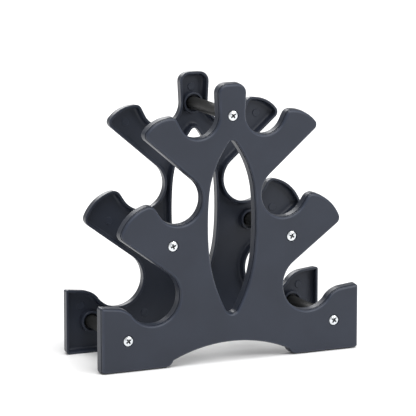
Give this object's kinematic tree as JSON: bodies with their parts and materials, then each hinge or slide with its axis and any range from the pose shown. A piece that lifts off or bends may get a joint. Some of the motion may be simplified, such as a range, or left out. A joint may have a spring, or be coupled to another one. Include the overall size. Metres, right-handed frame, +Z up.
{
  "type": "dumbbell rack",
  "caption": "Small tree-shaped tabletop rack for light dumbbells: moulded plastic tray panels held apart by screwed rods, with cradles on both sides of the trunk.",
  "frame": {"origin": "on the floor, midway between the feet and midway between the two panels", "axes": "+X to the right across the feet, +Y from the front panel to the rear panel, +Z up; the front panel is on the -Y side"},
  "size_m": [0.264, 0.0988, 0.262],
  "materials": {
    "panel_plastic": "moulded charcoal plastic with a fine satin texture",
    "rod_plastic": "satin dark warm grey",
    "zinc": "bright zinc plated"
  },
  "bodies": {
    "root": {"front_panel": "panel_plastic", "rear_panel": "panel_plastic", "top_rod": "rod_plastic", "middle_left_rod": "rod_plastic", "middle_right_rod": "rod_plastic", "lower_left_rod": "rod_plastic", "lower_right_rod": "rod_plastic", "front_top_screw": "zinc", "front_middle_left_screw": "zinc", "front_middle_right_screw": "zinc", "front_lower_left_screw": "zinc", "front_lower_right_screw": "zinc", "rear_top_screw": "zinc", "rear_middle_left_screw": "zinc", "rear_middle_right_screw": "zinc", "rear_lower_left_screw": "zinc", "rear_lower_right_screw": "zinc"}
  },
  "joints": []
}
